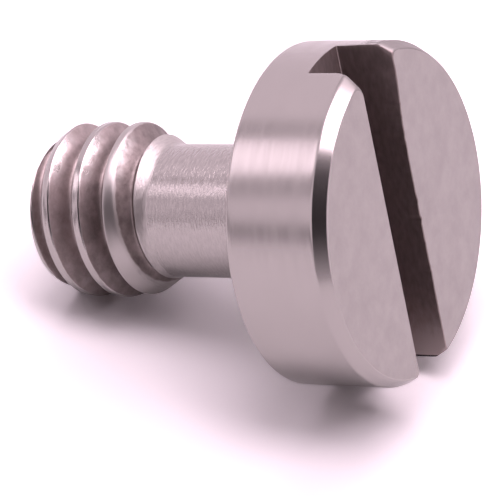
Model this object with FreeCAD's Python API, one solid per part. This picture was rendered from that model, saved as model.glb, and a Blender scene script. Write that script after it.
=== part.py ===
import FreeCAD, Part
import math
import os

os.makedirs("parts", exist_ok=True)

# Quarter-inch tripod adapter screw with a captive neck: one turned piece of steel.
# Lengths are in millimetres and angles in degrees.
# The screw is turned along +Z with the slotted face at z = 0 and the tip up, then laid down at rest.

# Head
head_d = 12.0          # across the head
head_t = 3.8           # from the slotted face to the underside
bevel_l = 0.45         # length of the bevel round the slotted face, along the axis
bevel_angle = 30.0     # slope of that bevel against the axis
rim_r = 0.12           # rounding of the rim on the neck side

# Driver slot
slot_w = 2.15
slot_depth = 1.95
slot_off = 0.25        # how far the slot was cut beside the centre

# Neck
neck_d = 4.75
neck_l = 5.33          # from the head's underside to the shoulder
fillet_r = 0.25        # inside corner between head and neck

# Thread, 1/4 inch with 20 turns to the inch, right-handed
pitch = 1.27
thread_d = 6.3         # across the crests
shank_l = 10.0         # from the head's underside to the tip
root_d = 4.79          # across the thread's roots
root_w = 0.14          # flat at the groove's bottom
flank_angle = 60.0     # between the two flanks of a groove
shoulder_angle = 26.0  # slope of the run-out from the neck up to the thread, against the axis
tip_d = 5.3            # flat at the tip
tip_angle = 30.0       # slope of the tip's chamfer against the axis
thread_turn = 137.5    # where round the neck the thread begins, from the slot's line

# Rest
roll = 10.5            # how far the slot leans from upright as the screw lies

# Allowances of the cuts
overshoot = 1.0        # how far the slot cutter runs past the metal
turn_gap = 0.05        # left between one turn of the groove cutter and the next
mesh_step = 0.01       # how finely the form is sampled to lay it down


def slope(angle):
    """Rise over run of a face that leans by this angle."""
    return math.tan(math.radians(angle))


head_r = head_d / 2
neck_r = neck_d / 2
thread_r = thread_d / 2
root_r = root_d / 2
tip_r = tip_d / 2
tip_z = head_t + shank_l
shoulder_z = head_t + neck_l
bevel_r = head_r - bevel_l * slope(bevel_angle)
shoulder_l = (thread_r - neck_r) / slope(shoulder_angle)
tip_l = (thread_r - tip_r) / slope(tip_angle)


def vec(r, z):
    return FreeCAD.Vector(r, 0, z)


def turned_blank():
    """Head, neck, shoulder and tip before the thread and the slot are cut."""
    rim_c, fil_c, s = head_r - rim_r, neck_r + fillet_r, math.sqrt(0.5)
    rim_mid = vec(rim_c + rim_r * s, head_t - rim_r + rim_r * s)
    fil_mid = vec(fil_c - fillet_r * s, head_t + fillet_r - fillet_r * s)
    edges = [
        Part.makeLine(vec(0, 0), vec(bevel_r, 0)),
        Part.makeLine(vec(bevel_r, 0), vec(head_r, bevel_l)),
        Part.makeLine(vec(head_r, bevel_l), vec(head_r, head_t - rim_r)),
        Part.Arc(vec(head_r, head_t - rim_r), rim_mid, vec(rim_c, head_t)).toShape(),
        Part.makeLine(vec(rim_c, head_t), vec(fil_c, head_t)),
        Part.Arc(vec(fil_c, head_t), fil_mid, vec(neck_r, head_t + fillet_r)).toShape(),
        Part.makeLine(vec(neck_r, head_t + fillet_r), vec(neck_r, shoulder_z)),
        Part.makeLine(vec(neck_r, shoulder_z), vec(thread_r, shoulder_z + shoulder_l)),
        Part.makeLine(vec(thread_r, shoulder_z + shoulder_l), vec(thread_r, tip_z - tip_l)),
        Part.makeLine(vec(thread_r, tip_z - tip_l), vec(tip_r, tip_z)),
        Part.makeLine(vec(tip_r, tip_z), vec(0, tip_z)),
        Part.makeLine(vec(0, tip_z), vec(0, 0)),
    ]
    face = Part.Face(Part.Wire(edges))
    return face.revolve(vec(0, 0), FreeCAD.Vector(0, 0, 1), 360)


def groove_piece():
    """Half a turn of the thread's groove, starting over +X at height zero."""
    flank = slope(flank_angle / 2)
    out_w = pitch - turn_gap
    out_r = root_r + (out_w - root_w) / 2 / flank
    corners = [
        vec(root_r, -root_w / 2), vec(out_r, -out_w / 2),
        vec(out_r, out_w / 2), vec(root_r, root_w / 2),
    ]
    profile = Part.makePolygon(corners + corners[:1])
    helix = Part.makeHelix(pitch, pitch / 2, root_r)
    return Part.Wire(helix.Edges).makePipeShell([profile], True, True)


def threaded(shape):
    """The blank with the groove wound in from the neck and out past the tip."""
    piece = groove_piece()
    halves = math.ceil((shank_l - neck_l + 2 * pitch) / (pitch / 2))
    for i in range(halves):
        cutter = piece.copy()
        cutter.rotate(FreeCAD.Vector(0, 0, 0), FreeCAD.Vector(0, 0, 1), thread_turn + 180 * i)
        cutter.translate(FreeCAD.Vector(0, 0, shoulder_z - pitch + i * pitch / 2))
        shape = shape.cut(cutter)
    return shape


def driver_slot():
    """The straight slot across the face, along X."""
    slot = Part.makeBox(head_d + 2 * overshoot, slot_w, slot_depth + overshoot)
    slot.translate(FreeCAD.Vector(-head_r - overshoot, -slot_w / 2 - slot_off, -overshoot))
    return slot


def rest_angle(shape):
    """How far the axis dips towards the tip when rim and thread both touch the ground."""
    points = shape.tessellate(mesh_step)[0]
    rim = vec(head_r, head_t - rim_r)
    lean = min(
        math.atan2(rim.x + p.x, p.z - rim.z) for p in points if p.z > shoulder_z and p.x < 0
    )
    return math.degrees(lean)


def laid_down(shape):
    """The screw on its side, head towards +X, resting on rim and thread."""
    lying = shape.copy()
    lying.rotate(FreeCAD.Vector(0, 0, 0), FreeCAD.Vector(0, 0, 1), roll)
    turn = -(90 + rest_angle(lying))
    lying.rotate(FreeCAD.Vector(0, 0, 0), FreeCAD.Vector(0, 1, 0), turn)
    points = lying.tessellate(mesh_step)[0]
    xs, ys, zs = ([p[i] for p in points] for i in range(3))
    middle = FreeCAD.Vector((min(xs) + max(xs)) / 2, (min(ys) + max(ys)) / 2, min(zs))
    lying.translate(middle * -1)
    return lying


screw = laid_down(threaded(turned_blank()).cut(driver_slot()).Solids[0])
screw.exportStep("parts/tripod_screw.step")
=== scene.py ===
"""Looks of the quarter-inch tripod adapter screw: turned head, sawn slot, captive neck and rolled thread."""
import math

import bmesh
import bpy
from mathutils import Matrix, Vector, noise


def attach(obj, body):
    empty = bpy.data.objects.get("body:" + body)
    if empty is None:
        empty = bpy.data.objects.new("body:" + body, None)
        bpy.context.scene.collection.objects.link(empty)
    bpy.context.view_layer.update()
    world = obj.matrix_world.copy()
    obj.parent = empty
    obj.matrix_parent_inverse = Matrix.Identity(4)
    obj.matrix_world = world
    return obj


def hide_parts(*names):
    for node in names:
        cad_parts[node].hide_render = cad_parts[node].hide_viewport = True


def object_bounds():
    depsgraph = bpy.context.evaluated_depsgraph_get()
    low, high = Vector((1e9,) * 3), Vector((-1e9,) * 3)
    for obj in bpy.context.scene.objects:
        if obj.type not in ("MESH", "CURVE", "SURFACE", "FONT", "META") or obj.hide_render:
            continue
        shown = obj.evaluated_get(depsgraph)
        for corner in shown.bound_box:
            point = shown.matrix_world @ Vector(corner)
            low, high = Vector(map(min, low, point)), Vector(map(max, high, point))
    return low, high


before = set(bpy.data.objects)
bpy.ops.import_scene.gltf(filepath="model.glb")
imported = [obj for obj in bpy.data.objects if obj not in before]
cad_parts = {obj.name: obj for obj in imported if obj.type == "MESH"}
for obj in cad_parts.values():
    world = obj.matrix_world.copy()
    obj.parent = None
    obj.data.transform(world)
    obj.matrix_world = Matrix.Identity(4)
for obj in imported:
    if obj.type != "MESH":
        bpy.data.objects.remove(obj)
cad_bounds = [list(map(float, corner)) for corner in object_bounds()]

# Sizes in mm, as in the CAD
HEAD_R, HEAD_T, RIM_R = 6.0, 3.8, 0.12
BEVEL_L, BEVEL_A = 0.45, math.radians(30)
SLOT_W, SLOT_DEPTH, SLOT_OFF = 2.15, 1.95, 0.25
NECK_R, NECK_L, FILLET_R = 2.375, 5.33, 0.25
PITCH, THREAD_R, ROOT_R, ROOT_W = 1.27, 3.15, 2.395, 0.14
SHANK_L, TIP_R = 10.0, 2.65
TIP_A, FLANK_A = math.radians(30), math.radians(30)
THREAD_TURN = math.radians(137.5)
BEVEL_IN = BEVEL_L * math.tan(BEVEL_A)
SHOULDER_T = HEAD_T + NECK_L
TIP_T = HEAD_T + SHANK_L

# How the screw lies, on the rim of its head and on a crest near the tip.
# Its own frame has x along the slot, y across it and z from the slotted face to the tip.
MM = 0.001
ROLL = math.radians(10.5)
REST_T = 12.56              # depth of the crest that the screw rests on
LEAN = math.atan2(HEAD_R - THREAD_R, REST_T - (HEAD_T - RIM_R))
FACE_HEIGHT = (HEAD_T - RIM_R) * math.sin(LEAN) + (HEAD_R - RIM_R) * math.cos(LEAN) + RIM_R
FACE_MID = Vector((cad_bounds[1][0] / MM - (HEAD_R - BEVEL_IN) * math.sin(LEAN), 0, FACE_HEIGHT))
UP = Vector((-math.sin(LEAN), 0, math.cos(LEAN)))
ACROSS = Vector((0, 1, 0))
ALONG_SLOT = UP * math.cos(ROLL) + ACROSS * math.sin(ROLL)
OVER_SLOT = ACROSS * math.cos(ROLL) - UP * math.sin(ROLL)
TO_TIP = Vector((-math.cos(LEAN), 0, -math.sin(LEAN)))
LYING = Matrix((ALONG_SLOT, OVER_SLOT, TO_TIP)).transposed()

# Finishes, in the order of the material slots
SIDE, BEVEL, FACE, SLOT, NECK, THREAD, TIP = range(7)
COLS = 256                  # points round the screw
WALL_CUTS = 149             # points along each wall of the slot
TINY = 1e-4


def rounded(corners, steps=4):
    """A line through (a, b, radius) corners, each rounded by an arc of that radius, as a list of (a, b)."""
    out = []
    for i, (a, b, r) in enumerate(corners):
        p = Vector((a, b))
        if not r or i in (0, len(corners) - 1):
            out.append(p)
            continue
        before, after = ((Vector(corners[k][:2]) - p).normalized() for k in (i - 1, i + 1))
        half = before.angle(after) / 2
        start, end = p + before * r / math.tan(half), p + after * r / math.tan(half)
        centre = p + (before + after).normalized() * r / math.sin(half)
        out += [centre + (start.lerp(end, k / steps) - centre).normalized() * r for k in range(steps + 1)]
    return [tuple(p) for p in out]


def soft_min(a, b, r):
    """The lower of two radii, with the edge where they cross rounded by about r."""
    h = max(r - abs(a - b), 0)
    return min(a, b) - h * h / (4 * r)


def soft_max(a, b, r):
    return -soft_min(-a, -b, r)


def ramp(value, low, high):
    """0 at low, 1 at high, straight between them and level beyond."""
    return min(max((value - low) / (high - low), 0), 1)


def evenly(start, end, count):
    """count numbers from start to end, both among them."""
    return [start + (end - start) * k / (count - 1) for k in range(count)]


def of_type(geom, kind):
    return [g for g in geom if isinstance(g, kind)]


def whole(bm):
    return bm.verts[:] + bm.edges[:] + bm.faces[:]


def placed(name, data):
    """A new object in the scene."""
    new = bpy.data.objects.new(name, data)
    bpy.context.collection.objects.link(new)
    return new


# Head: two lands beside the slot
FAR, NEAR = 1, -1
WALLS = {FAR: SLOT_W / 2 - SLOT_OFF, NEAR: SLOT_W / 2 + SLOT_OFF}
FLOOR_FILLET = 0.045
SIDE_EDGE_R, FACE_EDGE_R, WALL_EDGE_R = 0.22, 0.09, 0.035
SIDE_FROM, SIDE_TO = 1.8, 0.56      # the stretch of a land's side that is straight

# radius of a land's corner deep in the slot, at the face, and how far down the wear reaches: top, bottom
CORNERS = {FAR: ((0.03, 0.22, 0.6), (0.03, 0.15, 0.6)), NEAR: ((0.03, 0.46, 0.8), (0.08, 0.16, 0.5))}
WEAR_CURVE = 1.2
BARE = {FAR: 0.6, NEAR: 0.12}       # share of the corner, from the wall, that shows the sawn surface
TOP_FLARE = 0.27                    # how far the far wall leans away at its top end
FLARE_FROM, FLARE_FULL = 2.9, 4.9
NICK = 0.11                         # deepest nick in the far wall's edge
NICK_LEAST, NICK_DEPTH = 0.12, 0.7
BURR = 0.035                        # height of the burr at the slot's top end
BURR_FROM, BURR_DEPTH, BURR_WIDTH = 5, 1.2, 2.4

# rows of a land from the slot's floor to the face, as (inset, depth), on the rim side and on the wall side
foot = [(-FLOOR_FILLET, SLOT_DEPTH, 0), (0, SLOT_DEPTH, FLOOR_FILLET), (0, SIDE_FROM, 0)]
foot = rounded(foot, 3)[2:-1]
lip = rounded([(0, 0.06, 0), (0, 0, WALL_EDGE_R), (0.1, 0, 0)], 4)[1:-1]
slope = [(0, 0.7, 0), (0, BEVEL_L, SIDE_EDGE_R), (BEVEL_IN, 0, FACE_EDGE_R), (BEVEL_IN + 0.2, 0, 0)]
slope = rounded(slope, 5)[1:-1]
upper, lower = slope[:6], slope[6:]
middle = [tuple(Vector(upper[-1]).lerp(Vector(lower[0]), k / 7)) for k in range(1, 7)]
straight = [(0, t) for t in evenly(SIDE_FROM, SIDE_TO, 9)]
RIM_ROWS = [(0, t) for _, t in foot] + straight + upper + middle + lower
WALL_ROWS = foot + [(0, t) for _, t in RIM_ROWS[len(foot):-len(lip)]] + lip


def nick(x):
    """How far the saw's exit burr broke away along the far wall's edge."""
    rough = noise.noise(Vector((x * 2.3, 0.3, 0))) + 0.8 * noise.noise(Vector((x * 6.1, 2.7, 0)))
    more_above = 0.3 + 0.7 * ramp(x, -4.5, 0.5)
    return NICK * max(rough - NICK_LEAST, 0) * more_above * ramp(5.2 - x, 0, 1)


def land_point(home, side, radius, wall, rim_t, wall_t):
    """Place of one point of a land's outline in a row, and how far it is from the wall (0) to the rim (1).
    home is the point's place in the first row, at the slot's floor."""
    base = WALLS[side] - FLOOR_FILLET
    x, y = home.x, home.y * side
    if side == FAR:
        wall += TOP_FLARE * ramp(x, FLARE_FROM, FLARE_FULL) * ramp(SLOT_DEPTH - wall_t, 0, SLOT_DEPTH)
    on_wall = abs(y - base) < TINY
    if on_wall:
        x *= math.sqrt(radius ** 2 - wall ** 2) / math.sqrt(HEAD_R ** 2 - base ** 2)
        y = wall
    else:
        quarter = math.acos(wall / radius) / math.acos(base / HEAD_R)
        a = math.atan2(x, y) * quarter
        x, y = radius * math.sin(a), radius * math.cos(a)
    deep, worn, reach = CORNERS[side][0 if x > 0 else 1]
    corner = deep + (worn - deep) * max(1 - rim_t / reach, 0) ** WEAR_CURVE
    middle_x, middle_y = math.sqrt((radius - corner) ** 2 - (wall + corner) ** 2), wall + corner
    depth, share = (wall_t, 0.0) if on_wall else (rim_t, 1.0)
    if abs(x) > middle_x and y * middle_x < middle_y * abs(x):
        v = Vector((abs(x) - middle_x, y - middle_y)).normalized() * corner
        share = (math.atan2(v.y, v.x) + math.pi / 2) / (math.atan2(middle_y, middle_x) + math.pi / 2)
        share = share * share * (3 - 2 * share)
        x, y = math.copysign(middle_x + v.x, x), middle_y + v.y
        depth = wall_t + (rim_t - wall_t) * share
    if side == FAR and share < 1:
        y += nick(x) * ramp(NICK_DEPTH - wall_t, 0, 0.6) * (1 - share)
    if side == FAR and x > BURR_FROM and share > 0 and rim_t < BURR_DEPTH:
        lift = noise.noise(Vector((x * 7, y * 7, rim_t * 7))) * BURR
        lift *= ramp(share, 0.7, 1) * ramp(BURR_WIDTH - y, 0, 0.9)
        x, y = x * (1 + lift / HEAD_R), y + lift
    return Vector((x, side * y, depth)), share


head = bmesh.new()
home = head.verts.layers.float_vector.new("home")
turned = head.verts.layers.float.new("turned")
bmesh.ops.create_circle(head, cap_ends=True, radius=HEAD_R, segments=COLS,
                        matrix=Matrix.Translation((0, 0, SLOT_DEPTH)))
for side, wall in WALLS.items():
    beside = (0, side * (wall - FLOOR_FILLET), 0)
    cut = bmesh.ops.bisect_plane(head, geom=whole(head), dist=TINY, plane_co=beside, plane_no=(0, 1, 0))
    bmesh.ops.subdivide_edges(head, edges=of_type(cut["geom_cut"], bmesh.types.BMEdge), cuts=WALL_CUTS)
rim = [e for e in head.edges if e.is_boundary]
for v in head.verts:
    v[home], v[turned] = v.co, 1
lands = sorted(head.faces, key=lambda f: f.calc_center_median().y)
for f in head.faces:
    f.material_index = SLOT
for side, land in ((FAR, lands[2]), (NEAR, lands[0])):
    for (inset, rim_t), (over, wall_t) in zip(RIM_ROWS, WALL_ROWS):
        made = bmesh.ops.extrude_face_region(head, geom=[land] + land.edges[:])
        land = of_type(made["geom"], bmesh.types.BMFace)[0]
        for v in of_type(made["geom"], bmesh.types.BMVert):
            v.co, v[turned] = land_point(v[home], side, HEAD_R - inset, WALLS[side] + over, rim_t, wall_t)
        outer = BEVEL if rim_t < BEVEL_L + 0.1 else SIDE
        for f in {f for e in land.edges for f in e.link_faces} - {land}:
            share = sum(v[turned] for v in f.verts) / 4
            f.material_index = outer if share > BARE[side] else SLOT
    land.material_index = FACE

# Lower head, underside and neck, drawn down ring by ring from the rim at the slot's floor
NECK_END = SHOULDER_T - 0.40
down = [((HEAD_R, t), SIDE) for t in evenly(SLOT_DEPTH + 0.1, HEAD_T - 0.25, 11)]
rim_edge = rounded([(HEAD_R, SLOT_DEPTH, 0), (HEAD_R, HEAD_T, RIM_R), (NECK_R, HEAD_T, 0)], 5)[1:-1]
down += [(p, SIDE) for p in rim_edge]
down += [((r, HEAD_T), SIDE) for r in evenly(HEAD_R - 0.3, NECK_R + 0.525, 7)]
fillet = rounded([(HEAD_R, HEAD_T, 0), (NECK_R, HEAD_T, FILLET_R), (NECK_R, SHOULDER_T, 0)], 6)[1:-1]
down += [(p, NECK) for p in fillet]
down += [((NECK_R, t), NECK) for t in evenly(HEAD_T + 0.4, NECK_END, 26)]


def draw(bm, edges, radius, t, finish):
    """Draws a ring of open edges out to a radius and depth, and returns the new ring."""
    made = bmesh.ops.extrude_edge_only(bm, edges=edges)["geom"]
    for v in of_type(made, bmesh.types.BMVert):
        r = radius / v.co.xy.length
        v.co = (v.co.x * r, v.co.y * r, t)
    for f in of_type(made, bmesh.types.BMFace):
        f.material_index = finish
    return [e for e in of_type(made, bmesh.types.BMEdge) if e.is_boundary]


for (radius, t), finish in down:
    rim = draw(head, rim, radius, t, finish)
head_mesh = bpy.data.meshes.new("head")
head.to_mesh(head_mesh)
head.free()

# Threaded end: one line of points, spun along the helix, trimmed at both ends, then brought to its radius
CREST_HALF = PITCH / 2 - ROOT_W / 2 - (THREAD_R - ROOT_R) * math.tan(FLANK_A)
SHOULDER_A = math.radians(33)       # steeper than the CAD's plain cone, and a little later
SHOULDER_LATE = 0.07
ROOT_SOFT, CREST_SOFT, TIP_SOFT = 0.12, 0.07, 0.06
SHOULDER_FOOT_SOFT, SHOULDER_TOP_SOFT = 0.11, 0.08
CREST_DIP = 0.008                   # how far a rolled crest stays short of the blank in its middle
DIP_FROM, DIP_FULL = 2.8, 3.0       # radii of the blank where that begins and is full


def shank(t, angle):
    """Radius of the threaded end at depth t and angle, and how far the groove is above the blank there."""
    root_t = SHOULDER_T + PITCH * (angle - THREAD_TURN) / (2 * math.pi)
    off = abs((t - root_t + PITCH / 2) % PITCH - PITCH / 2)
    groove = soft_max(ROOT_R + (off - ROOT_W / 2) / math.tan(FLANK_A), ROOT_R, ROOT_SOFT)
    shoulder = NECK_R + (t - SHOULDER_T - SHOULDER_LATE) * math.tan(SHOULDER_A)
    blank = soft_max(soft_min(shoulder, THREAD_R, SHOULDER_TOP_SOFT), NECK_R, SHOULDER_FOOT_SOFT)
    blank = soft_min(blank, TIP_R + (TIP_T - t) * math.tan(TIP_A), TIP_SOFT)
    dip = CREST_DIP * max(1 - ((PITCH / 2 - off) / CREST_HALF) ** 2, 0)
    blank -= dip * ramp(blank, DIP_FROM, DIP_FULL)
    return soft_min(blank, groove, CREST_SOFT), groove - blank


# places along half a pitch: the root, the flank, the crest's edge and the crest
flank_end = PITCH / 2 - CREST_HALF
half = [0, 0.04, 0.07, 0.11]
half += evenly(0.15, flank_end - 0.13, 7)
half += evenly(flank_end - 0.10, flank_end + 0.05, 7)
half += evenly(PITCH / 2 - 0.05, PITCH / 2, 3)
one_turn = half + [PITCH - p for p in half[-2:0:-1]]
first_root = SHOULDER_T - PITCH * (THREAD_TURN / (2 * math.pi) + 2)
turns = math.ceil((TIP_T - first_root) / PITCH) + 1
bm = bmesh.new()
line = [bm.verts.new((NECK_R, 0, first_root + p)) for p in one_turn + [PITCH]]
edges = [bm.edges.new(pair) for pair in zip(line, line[1:])]
bmesh.ops.spin(bm, geom=line + edges, cent=(0, 0, 0), axis=(0, 0, 1), dvec=(0, 0, PITCH / COLS),
               angle=2 * math.pi, steps=COLS)
first_turn = whole(bm)
for n in range(1, turns):
    again = of_type(bmesh.ops.duplicate(bm, geom=first_turn)["geom"], bmesh.types.BMVert)
    bmesh.ops.translate(bm, verts=again, vec=(0, 0, PITCH * n))
bmesh.ops.remove_doubles(bm, verts=bm.verts[:], dist=TINY)
for t, outward in ((NECK_END + 0.05, -1), (TIP_T, 1)):
    bmesh.ops.bisect_plane(bm, geom=whole(bm), dist=TINY, plane_co=(0, 0, t), plane_no=(0, 0, outward),
                           clear_outer=True)
CREST_LOW, CREST_HIGH = -0.16, 0.04     # groove above the blank, where the crest's finish begins and is full
TURNED_TO, TURNED_CREST = SHOULDER_T + 0.7, 0.7     # up to here the crests keep the turning tool's finish
crest = bm.verts.layers.float.new("crest")
for v in bm.verts:
    radius, above = shank(v.co.z, math.atan2(v.co.y, v.co.x))
    v.co.xy *= radius / v.co.xy.length
    v[crest] = ramp(above, CREST_LOW, CREST_HIGH)
for f in bm.faces:
    on_crest = min(v[crest] for v in f.verts) > TURNED_CREST
    f.material_index = NECK if on_crest and f.calc_center_median().z < TURNED_TO else THREAD

# End of the tip, drawn inwards from the chamfer's open edge
tip_ring = [e for e in bm.edges if e.is_boundary and e.verts[0].co.z > TIP_T - TINY]
for radius in (TIP_R - 0.08, 2.0, 1.2, 0.5):
    tip_ring = draw(bm, tip_ring, radius, TIP_T, TIP)
for f in bmesh.ops.contextual_create(bm, geom=tip_ring)["faces"]:
    f.material_index = TIP

# The two parts joined at the neck, and laid down as the screw rests
bm.from_mesh(head_mesh)
bpy.data.meshes.remove(head_mesh)
neck_rings = [e for e in bm.edges if e.is_boundary]
for f in bmesh.ops.bridge_loops(bm, edges=neck_rings)["faces"]:
    f.material_index = NECK
bmesh.ops.recalc_face_normals(bm, faces=bm.faces[:])
laid_down = Matrix.Translation(FACE_MID * MM) @ LYING.to_4x4() @ Matrix.Scale(MM, 4)
bmesh.ops.transform(bm, matrix=laid_down, verts=bm.verts[:])
for f in bm.faces:
    f.smooth = True
screw_mesh = bpy.data.meshes.new("screw")
bm.to_mesh(screw_mesh)
bm.free()
screw_mesh.set_sharp_from_angle(angle=math.radians(32))
screw = placed("screw_turned", screw_mesh)
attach(screw, "root")
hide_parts("tripod_screw")


# Shader maths
class Value:
    """A number that varies over a surface, so that a pattern is written as a sum."""

    def __init__(self, nodes, socket):
        self.nodes, self.socket = nodes, socket

    def maths(self, operation, a, b=0.0):
        return self.nodes.add("Math", {"operation": operation}, {0: a, 1: b})

    def __add__(self, other):
        return self.maths("ADD", self, other)

    def __radd__(self, other):
        return self.maths("ADD", other, self)

    def __sub__(self, other):
        return self.maths("SUBTRACT", self, other)

    def __rsub__(self, other):
        return self.maths("SUBTRACT", other, self)

    def __mul__(self, other):
        return self.maths("MULTIPLY", self, other)

    def __rmul__(self, other):
        return self.maths("MULTIPLY", other, self)

    def __pow__(self, other):
        return self.maths("POWER", self, other)

    def ramp(self, low, high, a=0.0, b=1.0):
        """a at low and below, b at high and above, eased between them."""
        return self.nodes.add("MapRange", {"interpolation_type": "SMOOTHSTEP"},
                              {"Value": self, "From Min": low, "From Max": high, "To Min": a, "To Max": b})


class Nodes:
    """Builder of the nodes of a material or of the world."""

    def __init__(self, owner):
        owner.use_nodes = True
        self.tree = owner.node_tree

    def add(self, kind, settings=None, sockets=None, out=0):
        """A node: its settings, a ramp's stops among them, then the values or links of its sockets."""
        n = self.tree.nodes.new("ShaderNode" + kind)
        for name, v in (settings or {}).items():
            if name != "stops":
                setattr(n, name, v)
                continue
            stops = n.color_ramp.elements
            while len(stops) < len(v):
                stops.new(1)
            for stop, (place, colour) in zip(stops, v):
                stop.position, stop.color = place, (*colour, 1)
        for name, v in (sockets or {}).items():
            self.feed(n.inputs[name], v)
        return Value(self, n.outputs[out])

    def feed(self, socket, v):
        if isinstance(v, Value):
            self.tree.links.new(v.socket, socket)
        else:
            socket.default_value = v

    def noise(self, x, y, z=0.0, detail=2.0, rough=0.5):
        """Noise at a place given by three numbers, 0 to 1."""
        place = self.add("CombineXYZ", {}, {"X": x, "Y": y, "Z": z})
        fineness = {"Scale": 1.0, "Detail": detail, "Roughness": rough}
        return self.add("TexNoise", {}, {"Vector": place, **fineness})

    def blend(self, factor, low, high):
        """A colour between low and high, each of them three numbers or another blend."""
        colours = (c if isinstance(c, Value) else (*c, 1) for c in (low, high))
        return self.add("Mix", {"data_type": "RGBA"}, dict(zip((0, 6, 7), (factor, *colours))), 2)

    def mirrored(self):
        """1 for what the camera sees by reflection in the metal, 0 for the light that reaches the floor."""
        glossy = self.add("LightPath", {}, {}, "Is Glossy Ray")
        depth = self.add("LightPath", {}, {}, "Diffuse Depth")
        return glossy * (1 - depth.maths("MINIMUM", depth, 1))


class Finish(Nodes):
    """One finish of the metal. x, y and t are the screw's own, in mm, and r and angle go round its axis."""

    def __init__(self, name, colour, roughness):
        self.material = bpy.data.materials.new(name)
        super().__init__(self.material)
        self.shader = self.tree.nodes["Principled BSDF"].inputs
        self.shader["Base Color"].default_value = (*colour, 1)
        self.shader["Metallic"].default_value = 1
        self.shader["Roughness"].default_value = roughness
        place = self.add("TexCoord", {}, {}, "Object")
        turn = LYING.transposed()
        own = self.add("Mapping", {"vector_type": "POINT"}, {
            "Vector": place, "Location": -(turn @ FACE_MID), "Rotation": turn.to_euler(),
            "Scale": (1 / MM,) * 3})
        self.x, self.y, self.t = (self.add("SeparateXYZ", {}, {0: own}, k) for k in range(3))
        self.r = (self.x * self.x + self.y * self.y) ** 0.5
        self.angle = self.x.maths("ARCTAN2", self.y, self.x)

    def bump(self, height, distance):
        """height from 0 to 1, distance in mm."""
        self.feed(self.shader["Normal"], self.add("Bump", {}, {"Height": height, "Distance": distance * MM}))

    def roughness(self, value):
        self.feed(self.shader["Roughness"], value)

    def colour(self, factor, low, high):
        self.feed(self.shader["Base Color"], self.blend(factor, low, high))


def shade(colour, k):
    return tuple(k * c for c in colour)


# Finishes of the metal
STEEL = (0.42, 0.40, 0.385)

side = Finish("steel_side", STEEL, 0.22)
side.bump(side.noise(side.t * 9, side.angle * 3, side.r * 9, detail=3), 0.0012)
side.roughness(side.noise(side.t * 3, side.angle * 1.5, 4.0).ramp(0.3, 0.7, 0.19, 0.24))
cloud = side.noise(side.t * 0.7, side.angle * 3, side.r * 2, detail=3)
side.colour(cloud, shade(STEEL, 0.95), shade(STEEL, 1.04))

bevel = Finish("steel_bevel", shade(STEEL, 0.97), 0.18)
bevel.bump(bevel.noise(bevel.t * 20, bevel.angle * 1.5, 2.0), 0.0006)
dulled = bevel.y.ramp(-2.7, -1.7) * bevel.x.ramp(4, 5)       # worn by screwdrivers beside the slot's top end
bevel.roughness(dulled * 0.36 + 0.18)
bevel.colour(dulled, shade(STEEL, 0.97), shade(STEEL, 0.62))

face = Finish("steel_face", STEEL, 0.45)
face.bump(face.noise(face.x * 9, face.y * 9, 1.0, detail=4, rough=0.7), 0.004)
mottle = face.noise(face.x * 1.1, face.y * 1.1, 6.0, detail=5, rough=0.65)
face.colour(mottle.ramp(0.25, 0.75), shade(STEEL, 0.85), shade(STEEL, 0.98))

slot = Finish("steel_slot", (0.26, 0.22, 0.21), 0.42)
slot.bump(slot.noise(slot.x * 5, slot.t * 16, slot.y * 16, detail=4, rough=0.65), 0.006)
# stain patches, plus painted light that makes the slot lighter towards its bottom end, near the floor
stain_and_shade = slot.noise(slot.x * 2.5, slot.t * 6, slot.y * 6, detail=3) + slot.x.ramp(-6.0, -3.6, 0.8, 0)
stain_and_shade_colour = slot.blend(stain_and_shade, (0.17, 0.14, 0.135), (0.33, 0.28, 0.27))
painted_dark_edge = slot.r + slot.noise(slot.y * 3.5, slot.x * 2, 7.0) * 0.12
painted_dark_edge = painted_dark_edge.ramp(5.95, 5.98) * slot.x.ramp(-5, -4, 1, 0)       # painted shade: a near-black line along the edge of the slot's floor at its bottom end
slot.colour(painted_dark_edge, stain_and_shade_colour, (0.03, 0.024, 0.026))

neck = Finish("steel_neck", STEEL, 0.19)
feed = neck.noise(neck.t * 14, neck.angle * 8, 3.0, detail=3, rough=0.6)    # marks of the turning tool
neck.bump(feed, 0.02)
neck.colour(feed.ramp(0.3, 0.7), shade(STEEL, 0.9), shade(STEEL, 1.08))
neck.roughness(neck.t.ramp(8.9, 9.4, 0.19, 0.44))

# crests rolled bright, painted highlights on some flanks beside them, and dull stained flanks below with
# painted shade darker towards the head
thread = Finish("steel_thread", STEEL, 0.3)
worn = thread.noise(thread.x * 3.5, thread.y * 3.5, thread.t * 3.5)
crest = thread.add("Attribute", {"attribute_name": "crest"}, {}, "Fac")
rolled = (crest + worn * 0.3).ramp(0.62, 0.88)
# painted highlight: bright patches on the upper flanks, only within one band of angle round the screw
painted_highlight = thread.angle.ramp(-0.9, -0.6) * thread.angle.ramp(-0.25, 0.05, 1, 0) * thread.r.ramp(2.6, 3.0)
# rolled crests, together with the painted highlight patches on the flanks
crest_and_highlight = rolled.maths("MAXIMUM", rolled, painted_highlight * worn.ramp(0.15, 0.65))
patchy = thread.noise(thread.x * 1.8, thread.y * 1.8, thread.t * 2.6, detail=5, rough=0.6)
# stain patches, plus painted shade that makes the flanks darker towards the neck and head
stain_and_shade = thread.t.ramp(10.4, 12.0) * 0.5 + patchy.ramp(0.3, 0.7) * 0.6 - 0.05
stain_and_shade_colour = thread.blend(stain_and_shade, (0.17, 0.145, 0.138), (0.36, 0.31, 0.30))
thread.colour(crest_and_highlight, stain_and_shade_colour, STEEL)
thread.roughness(0.46 - crest_and_highlight * thread.t.ramp(10.5, 11.0, 0.12, 0.28))
pits = thread.noise(thread.t * 7, thread.angle * 18, thread.r * 9, detail=4, rough=0.7)
thread.bump(pits * (1.15 - crest_and_highlight), 0.010)

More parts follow.
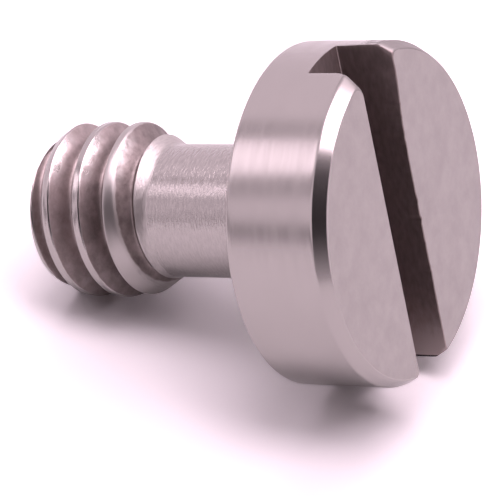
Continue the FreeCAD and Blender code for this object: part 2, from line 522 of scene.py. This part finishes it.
tip = Finish("steel_tip", STEEL, 0.35)
tip.bump(tip.noise(tip.r * 10, 0.0, 5.0), 0.003)

for finish in (side, bevel, face, slot, neck, thread, tip):
    screw_mesh.materials.append(finish.material)


# Floor, and cards that only the metal's reflections see
LIGHT = (1.0, 0.82, 0.93)       # tint of the photograph's light
SQUARE = ((-1, -1), (1, -1), (1, 1), (-1, 1))


def sheet(name, corners):
    """A flat card or floor, with its nodes and its shader's sockets."""
    bm = bmesh.new()
    bm.faces.new([bm.verts.new(c) for c in corners])
    mesh = bpy.data.meshes.new(name)
    bm.to_mesh(mesh)
    bm.free()
    plate = placed(name, mesh)
    mesh.materials.append(bpy.data.materials.new(name))
    nodes = Nodes(mesh.materials[0])
    return plate, nodes, nodes.tree.nodes["Principled BSDF"].inputs


FLOOR_HALF = 2.0
FLOOR_WHITE = 1.55              # the photograph's paper is past white
FLOOR_LIT = 0.9                 # its colour for the light that it throws back
FLOOR_MIRRORED = 0.33           # added where the metal mirrors it
ground = [(a * FLOOR_HALF, b * FLOOR_HALF, 0) for a, b in SQUARE]
_, nodes, shader = sheet("floor", ground)
seen, mirrored = nodes.add("LightPath", {}, {}, "Is Camera Ray"), nodes.mirrored()
nodes.feed(shader["Base Color"], FLOOR_LIT + (FLOOR_WHITE - FLOOR_LIT) * seen + FLOOR_MIRRORED * mirrored)
shader["Roughness"].default_value = 1
shader["Specular IOR Level"].default_value = 0


def toward(az, el, distance):
    """The place at a distance from the origin, in a direction of azimuth and elevation in degrees."""
    a, e = math.radians(az), math.radians(el)
    return Vector((math.cos(a) * math.cos(e), math.sin(a) * math.cos(e), math.sin(e))) * distance


def reflected_card(name, az, el, wide, high, distance, greys):
    """A card of wide by high degrees round a direction. greys are (share of the height, grey)."""
    middle = toward(az, el, distance)
    sideways = Vector((0, 0, 1)).cross(middle).normalized()
    upward = middle.normalized().cross(sideways)
    half_w, half_h = (distance * math.tan(math.radians(size / 2)) for size in (wide, high))
    corners = [middle + sideways * a * half_w + upward * b * half_h for a, b in SQUARE]
    card, nodes, shader = sheet(name, corners)
    place = nodes.add("TexCoord", {}, {}, "Object")
    height = nodes.add("VectorMath", {"operation": "DOT_PRODUCT"}, {0: place, 1: upward / (2 * half_h)},
                       "Value")
    height = height + (0.5 - upward @ middle / (2 * half_h))
    stops = [(share, shade(LIGHT, grey)) for share, grey in greys]
    nodes.feed(shader["Emission Color"], nodes.add("ValToRGB", {"stops": stops}, {"Fac": height}))
    shader["Emission Strength"].default_value = 1
    shader["Base Color"].default_value = (0, 0, 0, 1)
    shader["Specular IOR Level"].default_value = 0
    card.visible_camera = card.visible_diffuse = card.visible_shadow = False


reflected_card("room", -64, 38, 58, 84, 0.30, (
    (0, 0.85), (0.15, 0.6), (0.25, 0.35), (0.34, 0.15), (0.42, 0.05), (0.62, 0.06), (0.75, 0.12),
    (0.87, 0.4), (1, 0.9)))
reflected_card("horizon", -132, 10.5, 60, 11, 0.40, ((0, 0.9), (0.35, 0.42), (0.65, 0.42), (1, 1.0)))
reflected_card("frame", -160, 38, 44, 24, 0.36, ((0, 0.75), (0.3, 0.65), (1, 0.75)))


# Lights and world
def lamp(name, kind, az, el, distance, power):
    """A light that shines on the screw from a direction, and its object."""
    light = bpy.data.lights.new(name, kind)
    light.energy, light.color = power, LIGHT
    lit = placed(name, light)
    lit.location = toward(az, el, distance)
    lit.rotation_euler = (-lit.location).to_track_quat("-Z", "Y").to_euler()
    return light, lit


# lamps that only the metal's reflections see: azimuth, elevation, width, height and power
LAMPS = {
    "top": (55, 74, 0.40, 0.40, 2.0),
    "left": (-160, 38, 0.12, 0.10, 0.075),
    "right": (46, 38, 0.12, 0.12, 0.32),
}
LAMP_DISTANCE = 0.35
for name, (az, el, width, height, power) in LAMPS.items():
    light, lit = lamp(name, "AREA", az, el, LAMP_DISTANCE, power)
    light.shape = "RECTANGLE"
    light.size, light.size_y = width, height
    lit.visible_diffuse = False

# the soft light of the room, by elevation: azimuths, each with the floor's brightness from there
ROOM = {
    20: ((45, 0.05), (90, 0.03)),
    42: ((80, 0.08), (120, 0.045), (160, 0.015), (200, 0.025)),
    64: ((0, 0.225), (120, 0.09), (180, 0.085), (240, 0.085)),
    88: ((0, 0.255),),
}
SOFTNESS = math.radians(28)
for el, lights in ROOM.items():
    for az, level in lights:
        light, lit = lamp("soft", "SUN", az, el, 1, level * math.pi / math.sin(math.radians(el)))
        light.angle = SOFTNESS
        lit.visible_glossy = False

BACKDROP = 1.2
world = bpy.data.worlds.new("studio")
bpy.context.scene.world = world
nodes = Nodes(world)
background = nodes.tree.nodes["Background"].inputs
background["Color"].default_value = (*LIGHT, 1)
seen = nodes.add("LightPath", {}, {}, "Is Camera Ray")
nodes.feed(background["Strength"], BACKDROP * (seen + nodes.mirrored()))

# Camera, level and with a long lens
CAMERA_AZ, CAMERA_EL, CAMERA_DISTANCE = -65.429, 40.015, 131.14 * MM
LOOKED_AT = Vector((0.124, 0, 3.142)) * MM
LENS, SENSOR = 264.94, 36
cam_data = bpy.data.cameras.new("camera")
cam_data.sensor_width, cam_data.lens = SENSOR, LENS
cam_data.clip_start, cam_data.clip_end = 0.01, 10
camera = placed("camera", cam_data)
away = toward(CAMERA_AZ, CAMERA_EL, CAMERA_DISTANCE)
facing = away.to_track_quat("Z", "Y").to_matrix()
camera.matrix_world = Matrix.Translation(LOOKED_AT + away) @ facing.to_4x4()
bpy.context.scene.camera = camera
bpy.context.scene.view_settings.view_transform = "Standard"
